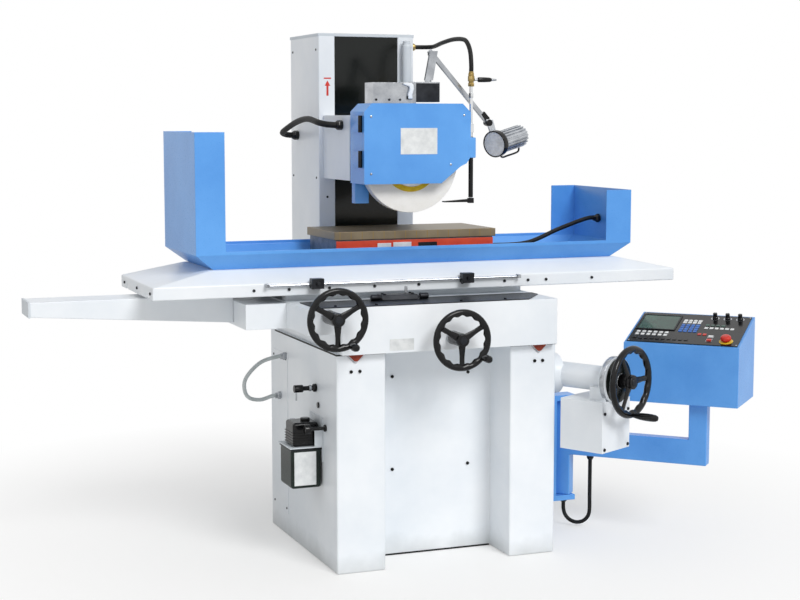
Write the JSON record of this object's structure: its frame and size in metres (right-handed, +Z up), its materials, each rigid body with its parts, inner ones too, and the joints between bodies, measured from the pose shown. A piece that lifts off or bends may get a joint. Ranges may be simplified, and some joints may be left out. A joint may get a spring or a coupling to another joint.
{
  "type": "surface grinder",
  "caption": "Surface grinder with a cross saddle, long reciprocating table, magnetic chuck, guarded wheel head on a column, and a swinging side console.",
  "frame": {"origin": "on the floor under the middle of the base casting", "axes": "+X to the operator's right along the table's travel, +Y from the operator towards the column, +Z up"},
  "size_m": [2.5212, 1.4432, 1.8],
  "materials": {
    "white_enamel": "satin off-white machine enamel on castings",
    "blue_enamel": "smooth sky-blue enamel on sheet steel",
    "way_cover": "smooth black-green way cover",
    "black_fittings": "glossy black moulded plastic",
    "black_rubber": "dull black rubber hose",
    "bright_steel": "ground and turned steel",
    "dark_steel": "blackened steel",
    "machined_iron": "dark machined cast iron",
    "lamp_alloy": "satin die-cast alloy",
    "brass_valve": "worn brass",
    "orange_panel": "orange-red enamel panel",
    "red_button": "glossy red moulding",
    "white_button": "white moulded key",
    "wheel_grit": "white bonded abrasive",
    "grey_hose": "pale grey hose",
    "tank_paint": "dark green oil tank with a grey shelf"
  },
  "bodies": {
    "base": {"base_casting": "white_enamel", "column_casting": "white_enamel", "upper_way_cover": "way_cover", "lower_way_cover": "way_cover", "elevating_gearbox": "white_enamel", "console_bracket": "blue_enamel", "oil_tank": "tank_paint", "oil_pump": "black_fittings", "hydraulic_hose": "grey_hose"},
    "speed_valve": {"table_speed_valve": "black_fittings"},
    "saddle": {"saddle_casting": "white_enamel", "saddle_ledge_plate": "dark_steel", "reversing_valve": "machined_iron", "guideway_cover": "white_enamel"},
    "reversing_lever": {"reversing_lever": "bright_steel"},
    "table": {"table_casting": "white_enamel", "splash_tray": "blue_enamel", "chuck_base": "machined_iron", "chuck_front_panel": "orange_panel", "chuck_top_plate": "bright_steel", "chuck_cable": "black_rubber", "dog_rail": "bright_steel"},
    "left_dog": {"left_dog": "dark_steel"},
    "right_dog": {"right_dog": "dark_steel"},
    "table_handwheel": {"table_handwheel": "black_fittings"},
    "table_grip": {"table_grip": "black_fittings"},
    "cross_handwheel": {"cross_handwheel": "black_fittings"},
    "cross_grip": {"cross_grip": "black_fittings"},
    "elevating_handwheel": {"elevating_handwheel": "black_fittings"},
    "elevating_grip": {"elevating_grip": "black_fittings"},
    "head": {"head_casting": "white_enamel", "spindle_motor": "machined_iron", "spindle_housing": "machined_iron", "wheel_guard": "blue_enamel", "coolant_pipe": "bright_steel", "coolant_valve": "brass_valve", "coolant_hose": "black_rubber", "motor_conduit": "black_rubber", "dresser_body": "bright_steel"},
    "spindle": {"spindle_shaft": "bright_steel", "wheel_flange": "bright_steel", "grinding_wheel": "wheel_grit", "flange_cover": "bright_steel"},
    "guard_door": {"guard_door": "blue_enamel"},
    "coolant_nozzle": {"coolant_nozzle": "black_fittings"},
    "coolant_tap": {"coolant_tap": "dark_steel"},
    "dresser_lever": {"dresser_lever": "white_enamel"},
    "lamp_lower_arm": {"lamp_lower_arm": "bright_steel"},
    "lamp_upper_arm": {"lamp_upper_arm": "bright_steel"},
    "lamp_head": {"lamp_head": "lamp_alloy"},
    "console": {"console_arm": "blue_enamel", "console_box": "blue_enamel", "console_panel": "black_fittings", "console_cable": "black_rubber"},
    "estop_button": {"estop_button": "red_button"},
    "start_button": {"start_button": "white_button"},
    "stop_button": {"stop_button": "red_button"},
    "selector_knob_1": {"selector_knob_1": "black_fittings"},
    "selector_knob_2": {"selector_knob_2": "black_fittings"},
    "selector_knob_3": {"selector_knob_3": "black_fittings"}
  },
  "joints": [
    {"name": "cross_feed", "type": "slide", "parent": "base", "child": "saddle", "axis": [0, 1, 0], "range_m": [-0.2, 0.1]},
    {"name": "table_traverse", "type": "slide", "parent": "saddle", "child": "table", "axis": [1, 0, 0], "range_m": [-0.33, 0.33]},
    {"name": "head_lift", "type": "slide", "parent": "base", "child": "head", "axis": [0, 0, 1], "range_m": [-0.05, 0.25], "deforming": ["upper_way_cover", "lower_way_cover"]},
    {"name": "elevating_wheel_turn", "type": "hinge", "parent": "base", "child": "elevating_handwheel", "pos_m": [0.584, -0.765, 0.611], "axis": [0.4772, -0.8788, 0], "range_deg": [-45010, 9010]},
    {"name": "cross_wheel_turn", "type": "hinge", "parent": "saddle", "child": "cross_handwheel", "pos_m": [0, -0.69, 0.772], "axis": [0, -1, 0], "range_deg": [-7210, 14410]},
    {"name": "table_wheel_turn", "type": "hinge", "parent": "saddle", "child": "table_handwheel", "pos_m": [-0.434, -0.71, 0.86], "axis": [0, -1, 0], "range_deg": [-1700, 1700]},
    {"name": "table_grip_turn", "type": "hinge", "parent": "table_handwheel", "child": "table_grip", "pos_m": [-0.39367, -0.7203, 0.77731], "axis": [0, -1, 0], "continuous": true},
    {"name": "cross_grip_turn", "type": "hinge", "parent": "cross_handwheel", "child": "cross_grip", "pos_m": [0.07048, -0.7003, 0.71286], "axis": [0, -1, 0], "continuous": true},
    {"name": "elevating_grip_turn", "type": "hinge", "parent": "elevating_handwheel", "child": "elevating_grip", "pos_m": [0.58939, -0.77493, 0.499], "axis": [0.4772, -0.8788, 0], "continuous": true},
    {"name": "speed_valve_turn", "type": "hinge", "parent": "base", "child": "speed_valve", "pos_m": [-0.3953, -0.37, 0.59], "axis": [-1, 0, 0], "range_deg": [-60, 60]},
    {"name": "reversing_lever_swing", "type": "hinge", "parent": "saddle", "child": "reversing_lever", "pos_m": [-0.1, -0.443, 0.9053], "axis": [0, 1, 0], "range_deg": [-25, 25]},
    {"name": "left_dog_slide", "type": "slide", "parent": "table", "child": "left_dog", "axis": [1, 0, 0], "range_m": [-0.12, 0.4]},
    {"name": "right_dog_slide", "type": "slide", "parent": "table", "child": "right_dog", "axis": [1, 0, 0], "range_m": [-0.4, 0.15]},
    {"name": "spindle_turn", "type": "hinge", "parent": "head", "child": "spindle", "pos_m": [0, -0.2, 1.338], "axis": [0, -1, 0], "continuous": true},
    {"name": "guard_door_swing", "type": "hinge", "parent": "head", "child": "guard_door", "pos_m": [-0.1965, -0.262, 1.4], "axis": [0, 0, 1], "range_deg": [-110, 0]},
    {"name": "coolant_nozzle_turn", "type": "hinge", "parent": "head", "child": "coolant_nozzle", "pos_m": [0.23, -0.23, 1.21], "axis": [0, 0, 1], "range_deg": [-90, 90]},
    {"name": "coolant_tap_turn", "type": "hinge", "parent": "head", "child": "coolant_tap", "pos_m": [0.23, -0.23, 1.624], "axis": [1, 0, 0], "range_deg": [0, 90]},
    {"name": "dresser_lever_swing", "type": "hinge", "parent": "head", "child": "dresser_lever", "pos_m": [-0.005, -0.2353, 1.6], "axis": [0, 1, 0], "range_deg": [-40, 40]},
    {"name": "lamp_base_turn", "type": "hinge", "parent": "head", "child": "lamp_lower_arm", "pos_m": [0.085, -0.185, 1.6153], "axis": [0, 0, 1], "range_deg": [-8, 20]},
    {"name": "lamp_elbow", "type": "hinge", "parent": "lamp_lower_arm", "child": "lamp_upper_arm", "pos_m": [0.103, -0.185, 1.7133], "axis": [0, 1, 0], "range_deg": [-12, 5]},
    {"name": "lamp_tilt", "type": "hinge", "parent": "lamp_upper_arm", "child": "lamp_head", "pos_m": [0.318, -0.1853, 1.4733], "axis": [0, 1, 0], "range_deg": [-20, 20]},
    {"name": "console_swing", "type": "hinge", "parent": "base", "child": "console", "pos_m": [0.597, -0.257, 0.3], "axis": [0, 0, 1], "range_deg": [0, 60]},
    {"name": "estop_press", "type": "slide", "parent": "console", "child": "estop_button", "axis": [0.203, 0.203, -0.9579], "range_m": [0, 0.0045], "stiffness_N_per_m": 800, "springref_m": -0.003},
    {"name": "start_press", "type": "slide", "parent": "console", "child": "start_button", "axis": [0.203, 0.203, -0.9579], "range_m": [0, 0.003], "stiffness_N_per_m": 300, "springref_m": -0.003},
    {"name": "stop_press", "type": "slide", "parent": "console", "child": "stop_button", "axis": [0.203, 0.203, -0.9579], "range_m": [0, 0.003], "stiffness_N_per_m": 300, "springref_m": -0.003},
    {"name": "selector_turn_1", "type": "hinge", "parent": "console", "child": "selector_knob_1", "pos_m": [1.14196, -0.56057, 0.76883], "axis": [-0.203, -0.203, 0.9579], "range_deg": [-45, 45]},
    {"name": "selector_turn_2", "type": "hinge", "parent": "console", "child": "selector_knob_2", "pos_m": [1.11014, -0.52875, 0.76883], "axis": [-0.203, -0.203, 0.9579], "range_deg": [-45, 45]},
    {"name": "selector_turn_3", "type": "hinge", "parent": "console", "child": "selector_knob_3", "pos_m": [1.07832, -0.49693, 0.76883], "axis": [-0.203, -0.203, 0.9579], "range_deg": [-45, 45]}
  ],
  "couplings": [
    {"joint": "table_wheel_turn", "follows": "table_traverse", "rad_per_m": -89.76},
    {"joint": "cross_wheel_turn", "follows": "cross_feed", "rad_per_m": -1256.6},
    {"joint": "elevating_wheel_turn", "follows": "head_lift", "rad_per_m": -3141.6}
  ]
}
